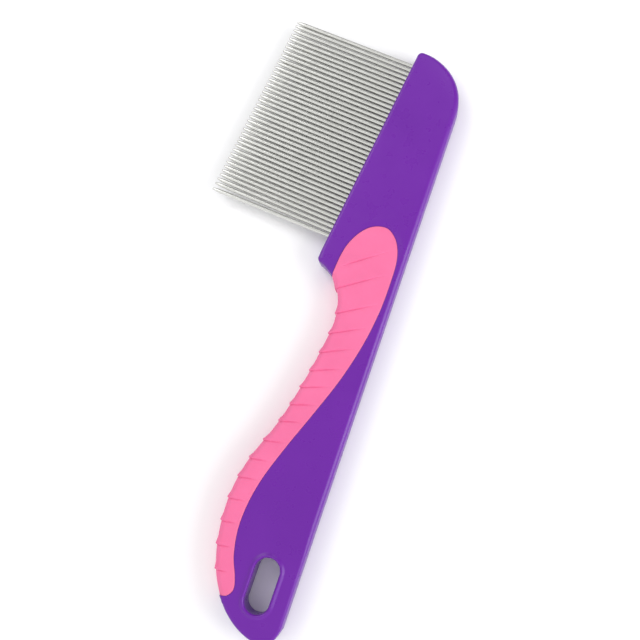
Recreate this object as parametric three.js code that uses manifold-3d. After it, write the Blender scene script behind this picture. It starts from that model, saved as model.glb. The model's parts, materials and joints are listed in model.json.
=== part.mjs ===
// A flea comb: a row of tapered steel pins moulded into a flat plastic handle, which has a hanging slot
// in its tail and a soft ribbed grip along its finger edge.
//
// Millimetres. The comb lies flat: +X runs along its straight spine towards the head, +Y points at the
// tooth tips and +Z goes through its thickness. The drawing coordinates below have X = 0 at the tail's
// end and Y = 0 on the spine. The last lines move the whole comb so that its origin is at the middle of
// its box's underside.

import * as THREE from "three";
import { ConvexGeometry } from "three/addons/geometries/ConvexGeometry.js";
import { mergeVertices } from "three/addons/utils/BufferGeometryUtils.js";
import Module from "manifold-3d";

const wasm = await Module();
wasm.setup();

// ---- Driving dimensions ----

const LENGTH = 140; // tail to head, along the spine
const THICKNESS = 7; // over the grip and the slot's rims
const STEP = 0.3; // how far the grip and the rims stand above the handle's faces
const EDGE_RADIUS = 0.9; // the handle's moulded edges

const TOOTH_EDGE_AT_HEAD = 13.0; // the tooth edge's height over the spine, at the head's end
const TOOTH_EDGE_SLOPE = THREE.MathUtils.degToRad(6.92); // it rises this much towards the tail

const TOOTH_COUNT = 41;
const TOOTH_PITCH = 1.1436; // measured along the tooth edge
const TOOTH_RADIUS = 0.49;
const TOOTH_REACH = 31.1; // the bare length of a tooth
const TOOTH_TAPER = 1.7; // the part of it that narrows towards the nose
const TOOTH_NOSE = 0.45; // the blunt round end
const NOSE_RADIUS = 0.3;
const TIP_RADIUS = 0.1;
const TOOTH_ROOT = 4.2; // the length moulded into the handle, short of the grip's lobe
const TOOTH_LEAN = THREE.MathUtils.degToRad(5.63); // towards the head, from square to the spine
const LAST_TOOTH_LEAN = THREE.MathUtils.degToRad(4.88); // the one by the heel stands a little out of the row
const FIRST_TOOTH_X = 137.06; // where the tooth nearest the head leaves the tooth edge
const TOOTH_CLEARANCE = 0.04; // round a root in its hole
const TOOTH_SIDES = 8;

const SLOT_CENTRE = [11.95, 7.0];
const SLOT_LENGTH = 12.5;
const SLOT_WIDTH = 5.7;
const RIM_WIDTH = 0.85;

const POCKET_DEPTH = 1.5; // from each face of the handle down to the web inside the grip
const WEB_INSET = 1.6; // from the finger edge in to the web's own edge
const MOULD_GAP = 0.1; // between the grip and the plastic that it is moulded over
const GRIP_RADIUS = 1.6; // the grip's rounded finger edge
const ANCHOR_RADIUS = 1.3; // the grip's bridges through the web
const ANCHOR_INSET = 0.6; // from the grip's faces in to a bridge's ends
const RIB_DEPTH = 0.3;
const RIB_FADE = 0.8; // a rib ends this share of the way across the grip
const RIB_OVERRUN = 1.5; // a rib's cut starts this far outside the finger edge
const RIB_LEAN = 10; // degrees, at the tail
const RIB_LEAN_GAIN = 0.55; // degrees more for each mm towards the head, from RIB_LEAN_START on
const RIB_LEAN_START = 38;
const NUB_HEIGHT = 0.34; // how far a rib's end stands out of the finger edge
const NUB_LENGTH = 2.4;
const NUB_DROP = 0.3; // the length of its steep side
const NUB_ROOT = 0.6; // how deep it is set into the grip

const MIDDLE = THICKNESS / 2;
const FACE_LOW = STEP;
const FACE_HIGH = THICKNESS - STEP;
const WEB_LOW = FACE_LOW + POCKET_DEPTH;
const WEB_HIGH = FACE_HIGH - POCKET_DEPTH;

// ---- Materials ----

const purplePlastic = new THREE.MeshStandardMaterial({ color: 0x7534a8, roughness: 0.38, metalness: 0 });
const pinkRubber = new THREE.MeshStandardMaterial({ color: 0xfb75a6, roughness: 0.62, metalness: 0 });
const steel = new THREE.MeshStandardMaterial({ color: 0xb9bab6, roughness: 0.3, metalness: 1 });

// ---- Outlines in the XY plane ----

const vector = ([x, y]) => new THREE.Vector2(x, y);

// A smooth curve through a few points, cut into equal steps.
function curveThrough(points, steps) {
  return new THREE.SplineCurve(points.map(vector)).getSpacedPoints(steps);
}

// A round corner: an arc about a centre, from one angle to another in degrees.
function corner([x, y], radius, fromDegrees, toDegrees, steps = 5) {
  return Array.from({ length: steps + 1 }, (_, i) => {
    const angle = THREE.MathUtils.degToRad(fromDegrees + ((toDegrees - fromDegrees) * i) / steps);
    return new THREE.Vector2(x + radius * Math.cos(angle), y + radius * Math.sin(angle));
  });
}

// An open run of points moved sideways, to the left of its direction for a positive distance.
function moveSideways(points, distance) {
  return points.map((point, i) => {
    const ahead = points[Math.min(i + 1, points.length - 1)];
    const behind = points[Math.max(i - 1, 0)];
    const along = ahead.clone().sub(behind).normalize();
    return new THREE.Vector2(point.x - along.y * distance, point.y + along.x * distance);
  });
}

const toothEdgeY = (x) => TOOTH_EDGE_AT_HEAD + (LENGTH - x) * Math.tan(TOOTH_EDGE_SLOPE);

// The finger edge, from the head's heel back to the tail.
const fingerEdge = curveThrough(
  [
    [81.9, 14.9],
    [79.0, 12.7],
    [75.3, 11.55],
    [70.5, 11.3],
    [60.0, 12.8],
    [48.0, 15.4],
    [36.5, 19.4],
    [27.5, 20.75],
    [18.5, 20.0],
    [11.5, 17.9],
    [7.0, 15.3],
  ],
  72,
);

// The tail's end, from the finger edge round to the spine.
const tailEnd = curveThrough(
  [
    [7.0, 15.3],
    [4.1, 12.8],
    [1.75, 9.6],
    [0.35, 6.2],
    [0.1, 3.4],
    [1.35, 1.1],
    [4.4, 0],
  ],
  22,
);

// The head's end, from the spine round towards its tip.
const headEnd = new THREE.CubicBezierCurve(
  vector([128.0, 0]),
  vector([133.0, 0]),
  vector([138.9, 3.7]),
  vector([LENGTH - 0.1, 10.8]),
).getSpacedPoints(16);

// The grip's edge on the handle's faces: an S from the tail, widening into a round lobe under the head.
const gripBorder = curveThrough(
  [
    [6.9, 15.4],
    [7.5, 13.6],
    [9.3, 12.65],
    [12.0, 13.35],
    [16.0, 15.05],
    [21.5, 16.1],
    [27.5, 15.95],
    [34.0, 14.7],
    [42.0, 12.05],
    [51.0, 8.65],
    [60.0, 5.45],
    [69.0, 3.15],
    [77.0, 2.0],
    [84.0, 1.73],
    [90.0, 2.0],
    [94.0, 3.35],
    [96.35, 5.7],
    [96.65, 8.0],
    [95.6, 10.5],
    [93.3, 12.6],
    [90.2, 14.1],
    [86.8, 14.8],
    [82.3, 15.15],
  ],
  96,
);
const LOBE_END_X = 96.5;
const spineSideBorder = gripBorder.slice(0, gripBorder.findIndex((p) => p.x > LOBE_END_X)).reverse();

// Where the grip's ribs meet the finger edge, from under the head back to the tail.
const RIB_X = [84, 79.9, 74.4, 69.5, 64.8, 60.2, 55.9, 51.5, 47.3, 42.1, 37.3, 32.6, 27.5, 22.4, 17.1, 12, 8];

const HEEL_CORNER = 1.0;
const TIP_CORNER = 1.2;
const squareToToothEdge = 90 - THREE.MathUtils.radToDeg(TOOTH_EDGE_SLOPE);
const tipCentre = [LENGTH - TIP_CORNER, toothEdgeY(LENGTH - TIP_CORNER) - TIP_CORNER];
const heelCentre = [85.55, toothEdgeY(85.55) - HEEL_CORNER];

// The handle's end wall, from the heel down to the finger edge.
const heelEnd = [
  [84.1, 17.75],
  [83.35, 16.5],
  [82.75, 15.6],
].map(vector);

const handleOutline = [
  ...headEnd,
  ...corner(tipCentre, TIP_CORNER, -8, squareToToothEdge),
  ...corner(heelCentre, HEEL_CORNER, squareToToothEdge, 151),
  ...heelEnd,
  ...fingerEdge,
  ...tailEnd.slice(1),
];

// The finger edge's side of the grip, closed well outside the comb so that it can cut all the way out.
const outsideGrip = [
  [80.6, 17],
  [60, 26],
  [5, 26],
  [5.8, 17.2],
].map(vector);
const gripRegion = [...gripBorder, ...outsideGrip];

// ---- Solids ----

// A closed geometry as a solid that can be cut and joined.
function solidOf(geometry) {
  const bare = geometry.clone();
  bare.deleteAttribute("normal");
  bare.deleteAttribute("uv");
  const merged = mergeVertices(bare, 1e-4);
  return new wasm.Manifold(
    new wasm.Mesh({
      numProp: 3,
      vertProperties: merged.attributes.position.array,
      triVerts: new Uint32Array(merged.index.array),
    }),
  );
}

// A finished solid as a named mesh.
function meshOf(name, solid, material) {
  const { vertProperties, triVerts } = solid.getMesh();
  const indexed = new THREE.BufferGeometry();
  indexed.setAttribute("position", new THREE.BufferAttribute(vertProperties, 3));
  indexed.setIndex(new THREE.BufferAttribute(triVerts, 1));
  const geometry = indexed.toNonIndexed();
  geometry.computeVertexNormals();
  const mesh = new THREE.Mesh(geometry, material);
  mesh.name = name;
  return mesh;
}

// An outline as a slab between two heights, its edges rounded by a radius where one is given.
function slab(outline, low, high, radius = 0) {
  const geometry = new THREE.ExtrudeGeometry(new THREE.Shape(outline), {
    depth: high - low - 2 * radius,
    bevelEnabled: radius > 0,
    bevelThickness: radius,
    bevelSize: radius,
    bevelOffset: -radius,
    bevelSegments: 3,
  });
  geometry.translate(0, 0, low + radius);
  return solidOf(geometry);
}

// An upright slot-shaped prism about the hanging slot's middle.
function slotPrism(margin, low, high) {
  const radius = SLOT_WIDTH / 2 + margin;
  const reach = (SLOT_LENGTH - SLOT_WIDTH) / 2;
  const [x, y] = SLOT_CENTRE;
  const outline = [
    ...corner([x + reach, y], radius, -90, 90, 10),
    ...corner([x - reach, y], radius, 90, 270, 10),
  ];
  return slab(outline, low, high);
}

// An upright round peg.
function peg(x, y, radius, low, high) {
  const geometry = new THREE.CylinderGeometry(radius, radius, high - low, 16);
  geometry.rotateX(Math.PI / 2);
  geometry.translate(x, y, (low + high) / 2);
  return solidOf(geometry);
}

// A round bar that lies along a tooth, from a depth inside the tooth edge to a height outside it.
// Its profile lists [distance along the tooth from the tooth edge, radius].
function toothBar(index, profile) {
  const points = profile.map(([along, radius]) => new THREE.Vector2(radius, along));
  const start = new THREE.Vector2(0, profile[0][0]);
  const end = new THREE.Vector2(0, profile[profile.length - 1][0]);
  const geometry = new THREE.LatheGeometry([start, ...points, end], TOOTH_SIDES);
  geometry.rotateZ(index === TOOTH_COUNT - 1 ? -LAST_TOOTH_LEAN : -TOOTH_LEAN);
  const x = FIRST_TOOTH_X - index * TOOTH_PITCH * Math.cos(TOOTH_EDGE_SLOPE);
  geometry.translate(x, toothEdgeY(x), MIDDLE);
  return solidOf(geometry);
}

// Where the grip's soft bridges pass through the web, as [x, y].
const ANCHORS = [
  [50, 11.3],
  [61, 8.4],
  [72, 6.4],
  [86, 8.0],
];

// Everything on the spine's side of the web's own edge, which runs inside the finger edge.
function behindWebEdge(inset, low, high) {
  const edge = moveSideways(fingerEdge, inset);
  const outline = [
    new THREE.Vector2(-5, -5),
    new THREE.Vector2(110, -5),
    new THREE.Vector2(110, edge[0].y),
    ...edge,
    new THREE.Vector2(-5, edge[edge.length - 1].y),
  ];
  return slab(outline, low, high);
}

function makeHandle() {
  let handle = slab(handleOutline, FACE_LOW, FACE_HIGH, EDGE_RADIUS);
  const pocketOutline = [...moveSideways(gripBorder, -MOULD_GAP), ...outsideGrip];
  const pocket = slab(pocketOutline, -1, THICKNESS + 1);
  handle = handle.subtract(pocket.subtract(behindWebEdge(WEB_INSET, WEB_LOW, WEB_HIGH)));
  for (const [x, y] of ANCHORS) {
    handle = handle.subtract(peg(x, y, ANCHOR_RADIUS + MOULD_GAP, 0, THICKNESS));
  }
  handle = handle.add(slotPrism(RIM_WIDTH, 0, THICKNESS));
  handle = handle.subtract(slotPrism(0, -1, THICKNESS + 1));
  for (let index = 0; index < TOOTH_COUNT; index++) {
    const radius = TOOTH_RADIUS + TOOTH_CLEARANCE;
    const socket = [
      [-TOOTH_ROOT - TOOTH_CLEARANCE, radius],
      [2, radius],
    ];
    handle = handle.subtract(toothBar(index, socket));
  }
  return meshOf("handle", handle, purplePlastic);
}

// The height on a run of points, listed by falling X, at one X.
function heightAt(points, x) {
  const after = Math.max(points.findIndex((point) => point.x <= x), 1);
  const [a, b] = [points[after - 1], points[after]];
  return a.y + ((x - a.x) / (b.x - a.x)) * (b.y - a.y);
}

// The finger edge with one more point under the heel, where the lobe's own rib starts.
const ribStarts = [vector([84.5, 15.6]), ...fingerEdge];

// A rib runs inwards from the finger edge and leans towards the head, more so nearer the lobe.
function ribAt(x) {
  const y = heightAt(ribStarts, x);
  const lean = THREE.MathUtils.degToRad(RIB_LEAN + RIB_LEAN_GAIN * Math.max(0, x - RIB_LEAN_START));
  const [ahead, behind] = [x + 0.4, x - 0.4];
  const rise = heightAt(ribStarts, ahead) - heightAt(ribStarts, behind);
  const along = new THREE.Vector2(ahead - behind, rise).normalize();
  const borderX = x + 3; // about where the leaning rib meets the border
  const reach = (RIB_FADE * (y - heightAt(spineSideBorder, borderX))) / Math.cos(lean);
  return {
    at: new THREE.Vector2(x, y),
    inner: new THREE.Vector2(x + reach * Math.sin(lean), y - reach * Math.cos(lean)),
    along,
    outward: new THREE.Vector2(-along.y, along.x),
  };
}

// The saw-tooth cut behind one rib on one face: it falls at the rib's line and rises to nothing at the
// next rib towards the tail.
function ribCut(rib, next, face, up) {
  const floor = [
    [rib.at.clone().addScaledVector(rib.outward, RIB_OVERRUN), RIB_DEPTH],
    [rib.inner, 0],
    [next.at.clone().addScaledVector(next.outward, RIB_OVERRUN), 0],
  ];
  const points = floor.flatMap(([p, depth]) => [
    new THREE.Vector3(p.x, p.y, face - up * depth),
    new THREE.Vector3(p.x, p.y, face + up),
  ]);
  return solidOf(new ConvexGeometry(points));
}

// A rib's end: a low wedge that stands out of the finger edge, steep towards the tail.
function nub(rib) {
  const place = (along, outward) =>
    rib.at.clone().addScaledVector(rib.along, along).addScaledVector(rib.outward, outward);
  const outline = [
    place(0, NUB_HEIGHT),
    place(-NUB_DROP, -MOULD_GAP),
    place(-NUB_DROP, -NUB_ROOT),
    place(NUB_LENGTH, -NUB_ROOT),
    place(NUB_LENGTH, -MOULD_GAP),
  ];
  return slab(outline, GRIP_RADIUS, THICKNESS - GRIP_RADIUS);
}

function makeGrip() {
  // A blank that is rounded along the finger edge only: its other sides lie well outside the grip.
  const blank = [
    [-10, -10],
    [100, -10],
    [100, 15],
  ].map(vector);
  blank.push(...fingerEdge, vector([4.1, 12.8]), vector([-10, 9]));
  let grip = slab(blank, 0, THICKNESS, GRIP_RADIUS);
  const ribs = RIB_X.map(ribAt);
  for (let i = 0; i < ribs.length - 1; i++) {
    grip = grip.subtract(ribCut(ribs[i], ribs[i + 1], THICKNESS, 1));
    grip = grip.subtract(ribCut(ribs[i], ribs[i + 1], 0, -1));
    if (i > 0) grip = grip.add(nub(ribs[i]));
  }
  grip = grip.intersect(slab(gripRegion, -1, THICKNESS + 1));
  grip = grip.subtract(behindWebEdge(WEB_INSET - MOULD_GAP, WEB_LOW - MOULD_GAP, WEB_HIGH + MOULD_GAP));
  for (const [x, y] of ANCHORS) {
    grip = grip.add(peg(x, y, ANCHOR_RADIUS, ANCHOR_INSET, THICKNESS - ANCHOR_INSET));
  }
  return meshOf("grip", grip, pinkRubber);
}

// One pin: a straight wire that narrows to a blunt round nose.
function makeTooth(index) {
  const nose = TOOTH_REACH - TOOTH_NOSE;
  const profile = [
    [-TOOTH_ROOT, TOOTH_RADIUS],
    [nose - TOOTH_TAPER, TOOTH_RADIUS],
    [nose, NOSE_RADIUS],
    [nose + TOOTH_NOSE * 0.7, NOSE_RADIUS * 0.7],
    [TOOTH_REACH, TIP_RADIUS],
  ];
  const name = `tooth_${String(index + 1).padStart(2, "0")}`;
  return meshOf(name, toothBar(index, profile), steel);
}

// ---- The assembly ----

const assembly = new THREE.Group();
assembly.add(makeHandle());
assembly.add(makeGrip());
for (let index = 0; index < TOOTH_COUNT; index++) {
  assembly.add(makeTooth(index));
}

const box = new THREE.Box3().setFromObject(assembly);
const centre = box.getCenter(new THREE.Vector3());
assembly.position.set(-centre.x, -centre.y, -box.min.z);

const comb = new THREE.Group();
comb.add(assembly);

export default comb;
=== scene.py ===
"""The flea comb's looks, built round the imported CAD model.

Lengths are in millimetres until place() turns them into metres. Drawing coordinates are the CAD part's own:
X from the tail's end towards the head, Y from the spine towards the tooth tips, Z up from the floor.
"""

import json
import math

import bpy
import numpy as np
from mathutils import Euler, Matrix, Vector
from mathutils.geometry import delaunay_2d_cdt


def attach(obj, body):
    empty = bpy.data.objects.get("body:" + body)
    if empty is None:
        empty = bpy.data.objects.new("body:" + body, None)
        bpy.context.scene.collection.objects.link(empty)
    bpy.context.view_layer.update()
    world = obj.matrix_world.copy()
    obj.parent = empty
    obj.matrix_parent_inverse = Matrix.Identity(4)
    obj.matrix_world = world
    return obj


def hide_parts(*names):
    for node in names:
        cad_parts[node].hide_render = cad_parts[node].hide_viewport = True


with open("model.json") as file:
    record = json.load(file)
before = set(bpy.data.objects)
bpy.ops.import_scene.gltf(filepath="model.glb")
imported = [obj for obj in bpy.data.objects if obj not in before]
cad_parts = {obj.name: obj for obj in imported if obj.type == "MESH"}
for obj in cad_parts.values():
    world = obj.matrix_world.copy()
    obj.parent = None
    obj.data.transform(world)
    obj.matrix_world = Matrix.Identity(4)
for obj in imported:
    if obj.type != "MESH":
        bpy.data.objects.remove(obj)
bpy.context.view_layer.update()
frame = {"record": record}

MM = 0.001

# ---- The comb's dimensions, as in the CAD model ----

LENGTH = 140
THICKNESS = 7
STEP = 0.3  # the grip and the slot's rims over the handle's faces
MIDDLE = THICKNESS / 2
FACE = THICKNESS - STEP

TOOTH_EDGE_AT_HEAD = 13.0
TOOTH_EDGE_SLOPE = math.radians(6.92)
TOOTH_COUNT = 41
TOOTH_PITCH = 1.1436
TOOTH_RADIUS = 0.49
TOOTH_REACH = 31.1
TOOTH_ROOT = 4.2
TOOTH_LEAN = math.radians(5.63)
FIRST_TOOTH_X = 137.06

SLOT_CENTRE = (11.95, 7.0)
SLOT_LENGTH = 12.5
SLOT_WIDTH = 5.7

POCKET_DEPTH = 1.5
WEB_INSET = 1.6
WEB_HIGH = FACE - POCKET_DEPTH

# The record states where this point of the back face lies in the row frame.
BACK_FACE = Vector((91.5, 7.5, 0))
back_face = next(mount for mount in frame["record"]["mounts"] if mount["name"] == "back_face")
ORIGIN = Vector(back_face["pos_m"]) - BACK_FACE * MM


def place(x, y, z=0.0):
    """A drawing point, in metres in the row frame."""
    return ORIGIN + Vector((x, y, z)) * MM


# ---- Camera, light and floor ----

COMB_MIDDLE = (70, 15, 0)

CAMERA_AT = (42.783, -20.336, 224.324)
CAMERA_TURN = (9.982, 6.047, -70.816)  # degrees
CAMERA_LENS = 55
CAMERA_SHIFT = 0.00078


def make_camera():
    data = bpy.data.cameras.new("camera")
    data.lens = CAMERA_LENS
    data.sensor_width = 36
    data.shift_x = -CAMERA_SHIFT
    data.shift_y = CAMERA_SHIFT
    data.clip_start = 0.01
    camera = bpy.data.objects.new("camera", data)
    camera.location = place(*CAMERA_AT)
    camera.rotation_euler = Euler([math.radians(angle) for angle in CAMERA_TURN])
    bpy.context.scene.collection.objects.link(camera)
    bpy.context.scene.camera = camera


def area_light(name, at, aim, width, height, watts):
    """A soft light at one drawing point that shines at another."""
    data = bpy.data.lights.new(name, "AREA")
    data.shape = "RECTANGLE"
    data.size = width * MM
    data.size_y = height * MM
    data.energy = watts
    light = bpy.data.objects.new(name, data)
    light.location = place(*at)
    away = place(*at) - place(*aim)
    light.rotation_euler = away.to_track_quat("Z", "Y").to_euler()
    bpy.context.scene.collection.objects.link(light)


SKY_AT_TAIL = 1.25  # the studio's walls, beyond the comb's tail
SKY_AT_HEAD = 0.45


def make_studio():
    """Soft light from all round, stronger beyond the tail, and four lamps."""
    bpy.context.scene.view_settings.view_transform = "Standard"
    world = bpy.data.worlds.new("studio")
    world.use_nodes = True
    nodes, links = world.node_tree.nodes, world.node_tree.links
    coordinates = nodes.new("ShaderNodeTexCoord")
    split = nodes.new("ShaderNodeSeparateXYZ")
    fade = nodes.new("ShaderNodeMapRange")
    limits = {"From Min": -1, "From Max": 1, "To Min": SKY_AT_TAIL, "To Max": SKY_AT_HEAD}
    for socket, number in limits.items():
        fade.inputs[socket].default_value = number
    links.new(coordinates.outputs["Generated"], split.inputs[0])
    links.new(split.outputs["X"], fade.inputs["Value"])
    links.new(fade.outputs["Result"], nodes["Background"].inputs["Strength"])
    nodes["Background"].inputs["Color"].default_value = (1, 1, 1, 1)
    bpy.context.scene.world = world
    area_light("low_lamp", (100, -430, 230), COMB_MIDDLE, 300, 400, 1.6)
    area_light("high_lamp", (240, 300, 380), COMB_MIDDLE, 260, 260, 0.66)
    area_light("side_lamp", (-250, 300, 310), (115, 30, 0), 220, 220, 0.07)
    area_light("head_lamp", (385, 0, 380), (120, 10, 0), 150, 150, 0.09)


FLOOR_HALF = 900
FLOOR_DROP = 0.02  # below the comb, so that the two never share a plane


def make_floor():
    x, y, _ = COMB_MIDDLE
    signs = ((-1, -1), (1, -1), (1, 1), (-1, 1))
    corners = [place(x + i * FLOOR_HALF, y + j * FLOOR_HALF, -FLOOR_DROP) for i, j in signs]
    mesh = bpy.data.meshes.new("floor")
    mesh.from_pydata(corners, [], [(0, 1, 2, 3)])
    floor = bpy.data.objects.new("floor", mesh)
    bpy.context.scene.collection.objects.link(floor)
    material = bpy.data.materials.new("floor")
    material.use_nodes = True
    shader = material.node_tree.nodes["Principled BSDF"]
    shader.inputs["Base Color"].default_value = (0.9, 0.9, 0.91, 1)
    shader.inputs["Roughness"].default_value = 0.9
    mesh.materials.append(material)


# ---- Curves in the drawing plane ----


def spline(points, spacing):
    """A uniform Catmull-Rom curve through a few points, resampled at an even spacing."""
    p = np.array(points, float)
    p = np.vstack([p[0], p, p[-1]])
    run = []
    for a, b, c, d in zip(p, p[1:], p[2:], p[3:]):
        t = np.linspace(0, 1, 60, endpoint=False)[:, None]
        u, v = (c - a) / 2, (d - b) / 2
        run.append((2 * b - 2 * c + u + v) * t**3 + (-3 * b + 3 * c - 2 * u - v) * t**2 + u * t + b)
    return resample(np.vstack([*run, p[-1:]]), spacing)


def resample(points, spacing):
    """The same run of points at an even spacing, its ends kept."""
    steps = np.linalg.norm(np.diff(points, axis=0), axis=1)
    along = np.concatenate([[0], np.cumsum(steps)])
    even = np.linspace(0, along[-1], max(int(round(along[-1] / spacing)), 1) + 1)
    return np.stack([np.interp(even, along, points[:, i]) for i in (0, 1)], 1)


def bezier(a, b, c, d, spacing):
    a, b, c, d = (np.array(p, float) for p in (a, b, c, d))
    t = np.linspace(0, 1, 200)[:, None]
    return resample((1 - t) ** 3 * a + 3 * (1 - t) ** 2 * t * b + 3 * (1 - t) * t**2 * c + t**3 * d, spacing)


def arc(centre, radius, start, end, spacing):
    """An arc about a centre, between two angles in degrees."""
    count = max(int(round(abs(math.radians(end - start)) * radius / spacing)), 3)
    angle = np.radians(np.linspace(start, end, count + 1))
    return np.stack([centre[0] + radius * np.cos(angle), centre[1] + radius * np.sin(angle)], 1)


def joined(*runs):
    """Runs end to end, without repeated points."""
    points = np.vstack(runs)
    keep = np.concatenate([[True], np.linalg.norm(np.diff(points, axis=0), axis=1) > 1e-4])
    return points[keep]


def normals_of(points, closed=False):
    """Unit normals to the left of a run of points."""
    if closed:
        along = np.roll(points, -1, 0) - np.roll(points, 1, 0)
    else:
        along = np.gradient(points, axis=0)
    along /= np.linalg.norm(along, axis=1)[:, None]
    return np.stack([-along[:, 1], along[:, 0]], 1)


def distance(points, run, closed=False):
    """The distance from each point to a run of straight pieces."""
    ends = np.roll(run, -1, 0) if closed else run[1:]
    starts = run if closed else run[:-1]
    best = np.full(len(points), np.inf)
    for a, b in zip(starts, ends):
        ab = b - a
        t = np.clip(((points - a) @ ab) / (ab @ ab), 0, 1)
        best = np.minimum(best, np.hypot(*(points - a - t[:, None] * ab).T))
    return best


def inside(points, loop):
    """Which points lie inside a closed loop."""
    within = np.zeros(len(points), bool)
    x, y = points.T
    for (ax, ay), (bx, by) in zip(loop, np.roll(loop, -1, 0)):
        if ay == by:
            continue
        crosses = (ay > y) != (by > y)
        within ^= crosses & (x < ax + (y - ay) * (bx - ax) / (by - ay))
    return within


def tooth_edge_y(x):
    return TOOTH_EDGE_AT_HEAD + (LENGTH - x) * math.tan(TOOTH_EDGE_SLOPE)


FINE = 0.3  # the spacing of points along the outlines

# Where the grip meets the handle's outline, under the heel and at the tail.
HEEL_JOINT = (82.4, 15.13)
TAIL_JOINT = (6.95, 15.33)

FINGER_EDGE = spline(
    [
        HEEL_JOINT,
        (81.9, 14.9),
        (79.0, 12.7),
        (75.3, 11.55),
        (70.5, 11.3),
        (60.0, 12.8),
        (48.0, 15.4),
        (36.5, 19.4),
        (27.5, 20.75),
        (18.5, 20.0),
        (11.5, 17.9),
        TAIL_JOINT,
    ],
    0.12,
)
TAIL_END = spline(
    [TAIL_JOINT, (4.1, 12.8), (1.76, 9.6), (0.37, 6.2), (0.12, 3.4), (1.36, 1.1), (4.4, 0)],
    FINE,
)
HEAD_END = bezier((128.0, 0), (133.0, 0), (138.9, 3.7), (LENGTH - 0.1, 10.8), FINE)
GRIP_BORDER = spline(
    [
        TAIL_JOINT,
        (7.5, 13.6),
        (9.3, 12.65),
        (12.0, 13.35),
        (16.0, 15.05),
        (21.5, 16.1),
        (27.5, 15.95),
        (34.0, 14.7),
        (42.0, 12.05),
        (51.0, 8.65),
        (60.0, 5.45),
        (69.0, 3.15),
        (77.0, 2.0),
        (84.0, 1.73),
        (90.0, 2.0),
        (94.0, 3.35),
        (96.35, 5.7),
        (96.65, 8.0),
        (95.6, 10.5),
        (93.3, 12.6),
        (90.2, 14.1),
        (86.8, 14.8),
        HEEL_JOINT,
    ],
    0.2,
)

TIP_CORNER = 1.2
HEEL_CORNER = 1.0
SQUARE = 90 - math.degrees(TOOTH_EDGE_SLOPE)
TIP_CENTRE = (LENGTH - TIP_CORNER, tooth_edge_y(LENGTH - TIP_CORNER) - TIP_CORNER)
HEEL_CENTRE = (85.55, tooth_edge_y(85.55) - HEEL_CORNER)

HEEL_ARC = arc(HEEL_CENTRE, HEEL_CORNER, 151, SQUARE, FINE)
TIP_ARC = arc(TIP_CENTRE, TIP_CORNER, SQUARE, -8, FINE)
HEEL_END = spline([HEEL_JOINT, (82.75, 15.6), (83.35, 16.5), (84.1, 17.75), HEEL_ARC[0]], FINE)
# The handle's outline, from the heel's joint with the grip clockwise to the tail's.
OUTLINE = joined(
    HEEL_END,
    HEEL_ARC,
    resample(np.array([HEEL_ARC[-1], TIP_ARC[0]]), FINE),
    TIP_ARC,
    HEAD_END[::-1],
    resample(np.array([[128.0, 0], [4.4, 0]]), FINE),
    TAIL_END[::-1],
)


def stadium(margin, spacing=FINE):
    """The hanging slot's edge, moved out by a margin."""
    x, y = SLOT_CENTRE
    radius = SLOT_WIDTH / 2 + margin
    reach = (SLOT_LENGTH - SLOT_WIDTH) / 2
    straight = np.array([[x + reach, y + radius], [x - reach, y + radius]])
    return joined(
        arc((x + reach, y), radius, -90, 90, spacing),
        resample(straight, spacing),
        arc((x - reach, y), radius, 90, 270, spacing),
        resample(2 * np.array([x, y]) - straight, spacing),
    )[:-1]


# ---- Closed meshes from faces of the drawing plane ----


class Shell:
    """Faces gathered into one closed mesh. Corners that fall together are joined."""

    def __init__(self):
        self.corners = {}
        self.faces = []

    def corner(self, x, y, z):
        key = (round(x, 4), round(y, 4), round(z, 4))
        return self.corners.setdefault(key, len(self.corners))

    def face(self, *points):
        corners = [self.corner(*p) for p in points]
        unique = list(dict.fromkeys(corners))
        if len(unique) > 2:
            self.faces.append(unique)

    def sheet(self, points, triangles, heights, up):
        """A triangulated region at the given heights, facing up or down."""
        solid = np.column_stack([points, heights])
        for a, b, c in triangles:
            self.face(*(solid[[a, b, c]] if up else solid[[a, c, b]]))

    def wall(self, low, high, closed=False):
        """A strip between two runs of 3-D points, seen from outside with the runs going left to right."""
        count = len(low)
        for i in range(count if closed else count - 1):
            j = (i + 1) % count
            self.face(low[i], low[j], high[j], high[i])

    def made(self, name, sharp_degrees=38):
        """The shell as a smooth-shaded object."""
        mesh = bpy.data.meshes.new(name)
        mesh.from_pydata([place(*p) for p in self.corners], [], self.faces)
        mesh.validate()
        mesh.shade_smooth()
        mesh.set_sharp_from_angle(angle=math.radians(sharp_degrees))
        thing = bpy.data.objects.new(name, mesh)
        bpy.context.scene.collection.objects.link(thing)
        return thing


def at_height(run, height):
    """A run of drawing points as 3-D points."""
    return np.column_stack([run, np.broadcast_to(height, len(run))])


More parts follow.
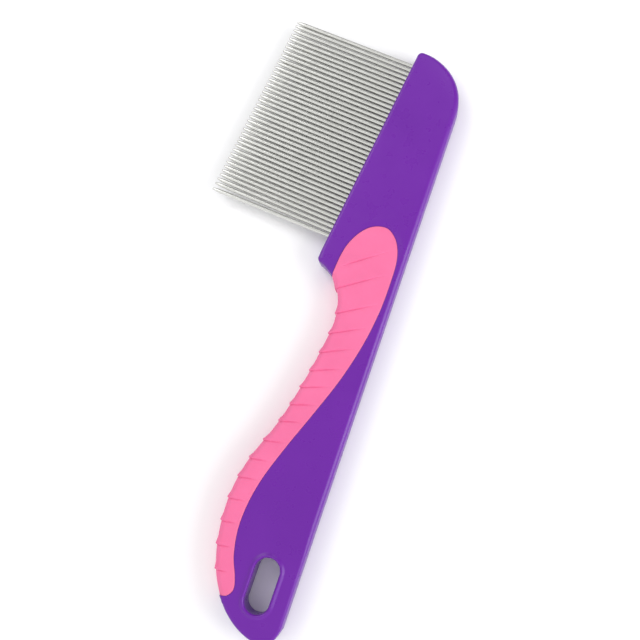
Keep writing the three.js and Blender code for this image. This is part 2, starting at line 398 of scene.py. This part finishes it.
def triangulated(loops, lines=(), grid=1.5):
    """Triangles over the region inside the first loop and outside the others.

    Open lines inside the region become edges, and a grid of points fills the rest.
    """
    points, edges = [], []

    def add(run, closed):
        start = sum(len(p) for p in points)
        points.append(run)
        edges.extend((start + i, start + i + 1) for i in range(len(run) - 1))
        if closed:
            edges.append((start + len(run) - 1, start))

    def within(p):
        good = inside(p, loops[0])
        for hole in loops[1:]:
            good &= ~inside(p, hole)
        return good

    for loop in loops:
        add(loop, True)
    for line in lines:
        good = within(line)
        for run in np.split(np.arange(len(line)), np.flatnonzero(np.diff(good.astype(int))) + 1):
            if good[run[0]] and len(run) > 1:
                add(line[run], False)
    busy = np.vstack(points)
    low, high = loops[0].min(0), loops[0].max(0)
    mesh_x, mesh_y = np.meshgrid(np.arange(low[0], high[0], grid), np.arange(low[1], high[1], grid))
    fill = np.column_stack([mesh_x.ravel(), mesh_y.ravel()])
    fill = fill[within(fill)]
    if len(fill):
        clear = np.array([np.min(np.hypot(*(busy - p).T)) > grid * 0.45 for p in fill])
        points.append(fill[clear])
    flat = [Vector(p) for p in np.vstack(points)]
    made, _, triangles, _, _, _ = delaunay_2d_cdt(flat, edges, [], 0, 1e-6)
    made = np.array([tuple(p) for p in made])
    triangles = np.array(triangles)
    centres = made[triangles].mean(1)
    return made, triangles[within(centres)]


def rounded(depth, radius):
    """How far a rounded edge has fallen, a depth in from the edge."""
    reach = np.clip(radius - depth, 0, radius)
    return radius - np.sqrt(radius**2 - reach**2)


OFF_THE_PART = 1e4  # where a mesh line is sent where it isn't wanted
ON_THE_OFFSET = 0.985  # a line this near to its full depth isn't cut off by another edge


def ring_lines(run, side, radius, steps, extra=(), closed=False):
    """Lines beside a run that follow a rounded edge, for its mesh."""
    inward = normals_of(run, closed) * side
    depths = [radius * (1 - math.cos(math.pi / 2 * i / steps)) for i in range(1, steps + 1)]
    lines = []
    for depth in [*depths, *extra]:
        line = run + inward * depth
        good = distance(line, run, closed) > depth * ON_THE_OFFSET
        lines.append(np.where(good[:, None], line, OFF_THE_PART))
    return lines


# ---- The handle ----

EDGE_RADIUS = 1.2
DRAFT = 0.03  # the parting line stands this far out of the side wall
LIP_RADIUS = 0.1  # the handle's edge along the grip
HEAD_CROWN = 0.2
HEAD_CROWN_WIDTH = 4.0
RIM_WIDTH = 1.1
RIM_LIP = 0.48
RIM_FLAT = 0.06
SHARPER_AT_HEEL = 0.2  # how much less the edge is rounded there
SHARPER_AT_TAIL = 0.45
SHARPER_AT_TEETH = 0.5
LOBE_DIP = 0.1
LOBE_SHOULDER = 0.05
EDGE_STEPS = 9
RIDGE_HALF = 0.12  # the parting line's half height


def handle_edge_radius(points):
    """The handle's edge is roundest along the spine and the head."""
    x, y = points.T
    heel = np.clip((87.2 - x) / 1.2, 0, 1) * (y > 14)
    tail = 1 / (1 + np.exp((x - 16 - 0.6 * (12 - y)) / 2))
    comb_edge = 1 / (1 + np.exp((tooth_edge_y(x) - y - 5) / 0.8)) * (x > 84)
    sharper = SHARPER_AT_HEEL * heel + SHARPER_AT_TAIL * tail + SHARPER_AT_TEETH * comb_edge * (1 - heel)
    return EDGE_RADIUS - sharper


def slot_rim(points):
    """The raised rim's height over the face, from the distance to the slot."""
    out = distance(points, stadium(0), True)
    flat = RIM_LIP + RIM_FLAT
    share = np.clip((out - flat) / (RIM_WIDTH - flat), 0, 1)
    return STEP * (1 - share) - rounded(out, RIM_LIP)


def lobe_shoulder(points):
    """A shallow dip beside the grip's round lobe, behind a soft raised shoulder."""
    out = distance(points, GRIP_BORDER)
    at_lobe = np.clip((points[:, 0] - 90) / 5, 0, 1) * np.clip((13.2 - points[:, 1]) / 4, 0, 1)
    dip = -LOBE_DIP * np.exp(-((out / 0.7) ** 2))
    shoulder = LOBE_SHOULDER * np.exp(-(((out - 1.45) / 0.45) ** 2))
    return at_lobe * (dip + shoulder)


def head_crown(points):
    """The face falls away gently towards the round head end."""
    share = np.clip(1 - distance(points, HEAD_END) / HEAD_CROWN_WIDTH, 0, 1)
    return HEAD_CROWN * share**2


def handle_height(points):
    edge = rounded(distance(points, OUTLINE), handle_edge_radius(points)) + head_crown(points)
    lip = rounded(distance(points, GRIP_BORDER), LIP_RADIUS)
    return FACE - np.maximum(edge, lip) + slot_rim(points) + lobe_shoulder(points)


def moved(run, amount):
    """A run moved to its left, its two ends kept where they are."""
    along = np.concatenate([[0], np.cumsum(np.linalg.norm(np.diff(run, axis=0), axis=1))])
    near_end = np.clip(np.minimum(along, along[-1] - along) / 0.8, 0, 1)
    return run + normals_of(run) * (near_end * amount)[:, None]


def web_edge(border, inset):
    """The web's own edge inside the grip, with the two places along the border where it ends."""
    edge = FINGER_EDGE + normals_of(FINGER_EDGE) * inset
    edge = joined(np.array([[100, edge[0, 1]]]), edge[8:-4], np.array([[-5, edge[-1, 1]]]))
    edge = resample(edge, 0.4)
    grip_loop = joined(border, FINGER_EDGE)[:-1]
    clear = inside(edge, grip_loop) & (distance(edge, border) > 0.3)
    edge = edge[clear]
    at_heel = int(np.argmin(np.hypot(*(border - edge[0]).T)))
    at_tail = int(np.argmin(np.hypot(*(border - edge[-1]).T)))
    return np.vstack([border[at_heel], edge, border[at_tail]]), at_tail, at_heel


def border_walls(shell, border, top, low, high, at_tail, at_heel, face_out):
    """The wall along the grip's border, open where the web crosses it."""
    levels = [at_height(border, z) for z in (THICKNESS - top, low, high, top)]
    spans = {0: [(0, len(border))], 1: [(0, at_tail + 1), (at_heel, len(border))], 2: [(0, len(border))]}
    for level, parts in spans.items():
        for start, end in parts:
            below, above = levels[level][start:end], levels[level + 1][start:end]
            shell.wall(below[::face_out], above[::face_out])


def web_sheets(shell, border, edge, at_tail, at_heel, low, high, outward):
    """The web's two faces and its edge: the handle's own, or the hollow for them in the grip."""
    loop = np.vstack([border[at_tail:at_heel], edge[:-1]])
    points, triangles = triangulated([loop], grid=2.5)
    shell.sheet(points, triangles, np.full(len(points), high), outward)
    shell.sheet(points, triangles, np.full(len(points), low), not outward)
    shell.wall(at_height(edge, low)[:: 1 if outward else -1], at_height(edge, high)[:: 1 if outward else -1])


def make_handle():
    shell = Shell()
    sides = moved(OUTLINE, -DRAFT)
    slot = stadium(0)
    loop = joined(sides, GRIP_BORDER)[:-1]
    radius = handle_edge_radius(sides)
    lines = []
    for i in range(1, EDGE_STEPS + 1):
        depth = radius * (1 - math.cos(math.pi / 2 * i / EDGE_STEPS)) + (0.1 if i == EDGE_STEPS else 0)
        line = sides - normals_of(sides) * depth[:, None]
        good = distance(line, sides) > depth * ON_THE_OFFSET
        lines.append(np.where(good[:, None], line, OFF_THE_PART))
    lines += ring_lines(GRIP_BORDER, -1, LIP_RADIUS, 3, (0.3, 0.55, 0.85, 1.15, 1.45, 1.75, 2.1))
    for ring in ring_lines(slot, -1, RIM_LIP, 5, (0.54, 0.6, 0.68, 0.76, 0.84, 0.92, 1.0, 1.1, 1.25), True):
        lines.append(np.vstack([ring, ring[:1]]))
    points, triangles = triangulated([loop, slot], lines)
    heights = handle_height(points)
    shell.sheet(points, triangles, heights, True)
    shell.sheet(points, triangles, THICKNESS - heights, False)

    top = handle_height(sides)
    rings = [
        at_height(sides, THICKNESS - top),
        at_height(sides, MIDDLE - RIDGE_HALF),
        at_height(OUTLINE, MIDDLE),
        at_height(sides, MIDDLE + RIDGE_HALF),
        at_height(sides, top),
    ]
    for below, above in zip(rings, rings[1:]):
        shell.wall(below[::-1], above[::-1])
    slot_top = handle_height(slot)
    shell.wall(at_height(slot, THICKNESS - slot_top)[::-1], at_height(slot, slot_top)[::-1], closed=True)

    edge, at_tail, at_heel = web_edge(GRIP_BORDER, WEB_INSET)
    low, high = THICKNESS - WEB_HIGH, WEB_HIGH
    border_walls(shell, GRIP_BORDER, handle_height(GRIP_BORDER), low, high, at_tail, at_heel, -1)
    web_sheets(shell, GRIP_BORDER, edge, at_tail, at_heel, low, high, True)
    return shell.made("handle_shell")


# ---- The grip ----

GRIP_GAP = 0.03
WEB_GAP = 0.1
GRIP_CROWN = 0.04
GRIP_CROWN_WIDTH = 3.5
GRIP_EDGE_RADIUS = 1.4
GRIP_LIP = 0.2
RIB_X = [84, 79.9, 74.4, 69.5, 64.8, 60.2, 55.9, 51.5, 47.3, 42.1, 37.3, 32.6, 27.5, 22.4, 17.1, 12]
RIB_HEIGHT = 0.15
RIB_RAMP = 1.9  # a rib's gentle side, towards the head
RIB_DROP = 0.26  # its steep side, towards the tail
RIB_MESH_LINES = (-0.62, -0.5, -0.4, -0.32, -0.26, -0.2, -0.13, -0.06, 0, 0.1, 0.4, 0.9, 1.4, 1.9)
RIB_LEAN = 10  # degrees, and this much more per mm past the start
RIB_LEAN_GAIN = 0.55
RIB_LEAN_START = 38
LOBE_RIB_Y = 15.6  # where the lobe's own rib would meet the finger edge
RIBBED_BORDER = GRIP_BORDER[len(TAIL_END) :]  # the border without its turn at the tail, where no rib ends
CREASE_DEPTH = 1.3  # the crease at its foot, in rib heights
CREASE_WIDTH = 0.34
NUB_HEIGHT = 0.34


def rib_profile(across):
    """A rib's height, 0 to 1, at a distance to the head's side of its crest."""
    ramp = np.clip(1 - across / RIB_RAMP, 0, 1) ** 1.3
    drop = np.clip(1 + across / RIB_DROP, 0, 1)
    return np.where(across > 0, ramp, drop * drop * (3 - 2 * drop))


def rib_crease(across):
    """The crease at a rib's foot, 0 to 1."""
    fall = np.clip(-across / RIB_DROP, 0, 1)
    rise = np.clip((-across - RIB_DROP) / CREASE_WIDTH, 0, 1)
    return fall**1.5 * (1 - rise) ** 1.3


def rib_line(x):
    """Where a rib starts on the finger edge, its direction inwards and its length."""
    if x < HEEL_JOINT[0]:
        start = FINGER_EDGE[np.argmin(abs(FINGER_EDGE[:, 0] - x))]
    else:
        start = np.array([x, LOBE_RIB_Y])
    lean = math.radians(RIB_LEAN + RIB_LEAN_GAIN * max(0, x - RIB_LEAN_START))
    direction = np.array([math.sin(lean), -math.cos(lean)])
    steps = np.arange(0.5, 16, 0.1)
    path = start + steps[:, None] * direction
    reach = steps[np.argmin(distance(path, RIBBED_BORDER))]
    return start, direction, reach


RIBS = [rib_line(x) for x in RIB_X]


def rib_height(points):
    """The ribs on the grip's face: they fade before its border, and the lobe's one fades at both ends."""
    total = np.zeros(len(points))
    crease = np.zeros(len(points))
    for number, (start, direction, reach) in enumerate(RIBS):
        out = points - start
        along = out @ direction / reach
        across = out[:, 1] * direction[0] - out[:, 0] * direction[1]
        fade = np.clip((0.86 - along) / 0.4, 0, 1) ** 0.8
        if number == 0:
            fade *= np.clip((along - 0.12) / 0.2, 0, 1)
        total = np.maximum(total, rib_profile(across) * fade)
        crease = np.maximum(crease, rib_crease(across) * fade)
    return total - CREASE_DEPTH * crease


def make_nubs():
    """The finger edge with the ribs' ends standing out of it."""
    along = np.concatenate([[0], np.cumsum(np.linalg.norm(np.diff(FINGER_EDGE, axis=0), axis=1))])
    height = np.zeros(len(along))
    for start, _, _ in RIBS[1:]:
        crest = along[np.argmin(np.hypot(*(FINGER_EDGE - start).T))]
        height = np.maximum(height, rib_profile(crest - along))
    return FINGER_EDGE - normals_of(FINGER_EDGE) * (NUB_HEIGHT * height)[:, None]


NUBBED_EDGE = make_nubs()


def grip_height(points):
    border = distance(points, GRIP_BORDER)
    crown = GRIP_CROWN * np.clip(1 - border / GRIP_CROWN_WIDTH, 0, 1) ** 2
    edge = rounded(distance(points, NUBBED_EDGE), GRIP_EDGE_RADIUS)
    lip = rounded(np.clip(border - GRIP_GAP, 0, None), GRIP_LIP)
    ribs = RIB_HEIGHT * rib_height(points) - RIB_HEIGHT
    return THICKNESS + ribs - crown - np.maximum(edge, lip)


def make_grip():
    shell = Shell()
    border = moved(GRIP_BORDER, GRIP_GAP)
    loop = joined(border, NUBBED_EDGE)[:-1]
    lines = ring_lines(border, 1, GRIP_LIP, 4, (0.26, 0.45))
    lines += ring_lines(NUBBED_EDGE, 1, GRIP_EDGE_RADIUS, 10)
    for start, direction, reach in RIBS:
        side = np.array([-direction[1], direction[0]])
        run = start + np.arange(0.3, 0.9 * reach, 0.25)[:, None] * direction
        lines += [run + side * across for across in RIB_MESH_LINES]
    points, triangles = triangulated([loop], lines, grid=0.7)
    heights = grip_height(points)
    shell.sheet(points, triangles, heights, True)
    shell.sheet(points, triangles, THICKNESS - heights, False)
    top = grip_height(NUBBED_EDGE)
    shell.wall(at_height(NUBBED_EDGE, THICKNESS - top), at_height(NUBBED_EDGE, MIDDLE))
    shell.wall(at_height(NUBBED_EDGE, MIDDLE), at_height(NUBBED_EDGE, top))
    edge, at_tail, at_heel = web_edge(border, WEB_INSET - WEB_GAP)
    low, high = THICKNESS - WEB_HIGH - WEB_GAP, WEB_HIGH + WEB_GAP
    border_walls(shell, border, grip_height(border), low, high, at_tail, at_heel, 1)
    web_sheets(shell, border, edge, at_tail, at_heel, low, high, False)
    return shell.made("grip_skin")


# ---- The pins ----

PIN_SIDES = 20
PIN_TAPER = 1.7  # from the full wire down to the nose
PIN_NOSE = 0.45  # the rounded end
NOSE_RADIUS = 0.3
PIN_WANDER = math.radians(0.11)  # no two pins are set quite alike
MOST_WANDER = math.radians(0.12)  # so that neighbours stay clear of each other up to their tips
LAST_PIN_TURN = math.radians(0.75)  # the last one leans out of the row
pin_turns = np.random.default_rng(11).normal(0, PIN_WANDER, TOOTH_COUNT).clip(-MOST_WANDER, MOST_WANDER)
pin_turns[0] = -PIN_WANDER  # this pin's tip is the comb's furthest point
pin_turns[-1] = -LAST_PIN_TURN


def make_pin(index):
    """A drawn wire with a ground tip that ends in a small round point."""
    nose = TOOTH_REACH - PIN_NOSE
    profile = [(-TOOTH_ROOT, 0.0), (-TOOTH_ROOT, TOOTH_RADIUS), (-1, TOOTH_RADIUS), (0.4, TOOTH_RADIUS)]
    profile += [(y, TOOTH_RADIUS) for y in np.linspace(4, nose - PIN_TAPER, 8)]
    for share in np.linspace(0, 1, 7)[1:]:
        radius = TOOTH_RADIUS + (NOSE_RADIUS - TOOTH_RADIUS) * share**1.5
        profile.append((nose - PIN_TAPER * (1 - share), radius))
    for angle in np.radians((20, 40, 60, 78)):
        profile.append((nose + PIN_NOSE * math.sin(angle), NOSE_RADIUS * math.cos(angle)))
    profile.append((TOOTH_REACH, 0.0))
    x = FIRST_TOOTH_X - index * TOOTH_PITCH * math.cos(TOOTH_EDGE_SLOPE)
    base = np.array([x, tooth_edge_y(x), MIDDLE])
    lean = TOOTH_LEAN + pin_turns[index]
    along = np.array([math.sin(lean), math.cos(lean), 0])
    aside = np.array([along[1], -along[0], 0])
    up = np.array([0, 0, 1])
    corners, faces = [], []
    for height, radius in profile:
        count = PIN_SIDES if radius else 1
        for i in range(count):
            angle = 2 * math.pi * i / PIN_SIDES
            spot = base + along * height + radius * (aside * math.cos(angle) + up * math.sin(angle))
            corners.append(place(*spot))
    last = len(corners) - 1
    for i in range(PIN_SIDES):
        j = (i + 1) % PIN_SIDES
        faces.append((0, 1 + j, 1 + i))
        for ring in range(len(profile) - 3):
            a, b = 1 + ring * PIN_SIDES, 1 + (ring + 1) * PIN_SIDES
            faces.append((a + i, a + j, b + j, b + i))
        final = 1 + (len(profile) - 3) * PIN_SIDES
        faces.append((final + i, final + j, last))
    name = f"pin_{index + 1:02d}"
    mesh = bpy.data.meshes.new(name)
    mesh.from_pydata(corners, [], faces)
    mesh.shade_smooth()
    mesh.set_sharp_from_angle(angle=math.radians(50))
    pin = bpy.data.objects.new(name, mesh)
    bpy.context.scene.collection.objects.link(pin)
    return pin


# ---- Materials ----


class Nodes:
    """A material's node tree, written as short calls. Coordinates are the object's own, in metres."""

    def __init__(self, name):
        self.material = bpy.data.materials.new(name)
        self.material.use_nodes = True
        self.tree = self.material.node_tree
        self.shader = self.tree.nodes["Principled BSDF"]
        self.where = self.tree.nodes.new("ShaderNodeTexCoord").outputs["Object"]

    def put(self, node, socket, value):
        if isinstance(value, bpy.types.NodeSocket):
            self.tree.links.new(value, node.inputs[socket])
        else:
            node.inputs[socket].default_value = value

    def noise(self, scale, detail=3.0, roughness=0.5, stretch=(1, 1, 1)):
        mapping = self.tree.nodes.new("ShaderNodeMapping")
        self.put(mapping, "Vector", self.where)
        mapping.inputs["Scale"].default_value = stretch
        node = self.tree.nodes.new("ShaderNodeTexNoise")
        self.put(node, "Vector", mapping.outputs["Vector"])
        self.put(node, "Scale", scale)
        self.put(node, "Detail", detail)
        self.put(node, "Roughness", roughness)
        return node.outputs["Fac"]

    def ramp(self, value, low, high, to_low, to_high):
        node = self.tree.nodes.new("ShaderNodeMapRange")
        numbers = {"Value": value, "From Min": low, "From Max": high, "To Min": to_low, "To Max": to_high}
        for socket, number in numbers.items():
            self.put(node, socket, number)
        return node.outputs["Result"]

    def blend(self, factor, first, second):
        node = self.tree.nodes.new("ShaderNodeMix")
        node.data_type = "RGBA"
        self.tree.links.new(factor, node.inputs[0])
        for socket, colour in ((6, first), (7, second)):
            self.put(node, socket, colour if isinstance(colour, bpy.types.NodeSocket) else (*colour, 1))
        return node.outputs[2]

    def bump(self, height, distance, strength=1.0, below=None):
        node = self.tree.nodes.new("ShaderNodeBump")
        self.put(node, "Height", height)
        self.put(node, "Distance", distance)
        self.put(node, "Strength", strength)
        if below is not None:
            self.put(node, "Normal", below)
        return node.outputs["Normal"]

    def finish(self, **sockets):
        for socket, value in sockets.items():
            self.put(self.shader, socket.replace("_", " "), value)
        return self.material


def purple_plastic():
    n = Nodes("purple_plastic")
    clouds = n.ramp(n.noise(70, 2), 0.35, 0.65, 0, 1)
    colour = n.blend(clouds, (0.117, 0.005, 0.288), (0.126, 0.007, 0.303))
    peel = n.bump(n.noise(900, 2), 0.000004)
    grain = n.bump(n.noise(6000, 2), 0.000001, 1.0, peel)
    return n.finish(
        Base_Color=colour,
        Roughness=n.ramp(n.noise(400, 3), 0.3, 0.7, 0.26, 0.33),
        Normal=grain,
        IOR=1.42,
    )


def pink_rubber():
    n = Nodes("pink_rubber")
    clouds = n.ramp(n.noise(120, 3), 0.35, 0.65, 0, 1)
    colour = n.blend(clouds, (0.735, 0.132, 0.295), (0.765, 0.142, 0.312))
    grain = n.bump(n.noise(5000, 3, 0.6), 0.000015)
    return n.finish(
        Base_Color=colour,
        Roughness=n.ramp(n.noise(700, 2), 0.3, 0.7, 0.5, 0.62),
        Normal=grain,
        IOR=1.45,
        Subsurface_Weight=0.1,
        Subsurface_Radius=(0.0012, 0.0004, 0.0005),
        Subsurface_Scale=1.0,
    )


def drawn_steel():
    n = Nodes("drawn_steel")
    streaks = n.noise(1.0, 3, 0.6, (9000, 120, 9000))
    colour = n.blend(n.ramp(streaks, 0.3, 0.7, 0, 1), (0.55, 0.55, 0.525), (0.65, 0.65, 0.625))
    return n.finish(
        Base_Color=colour,
        Metallic=1.0,
        Roughness=n.ramp(streaks, 0.3, 0.7, 0.22, 0.34),
        Normal=n.bump(streaks, 0.000004),
    )


# ---- The assembly ----

make_camera()
make_studio()
make_floor()

PIECES = [(make_handle(), "handle", "handle_plastic", purple_plastic())]
PIECES.append((make_grip(), "grip", "grip_rubber", pink_rubber()))
steel = drawn_steel()
for index in range(TOOTH_COUNT):
    PIECES.append((make_pin(index), f"tooth_{index + 1:02d}", "pin_steel", steel))
for piece, node, slot, material in PIECES:
    piece.data.materials.append(material)
    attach(piece, "root")
    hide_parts(node)
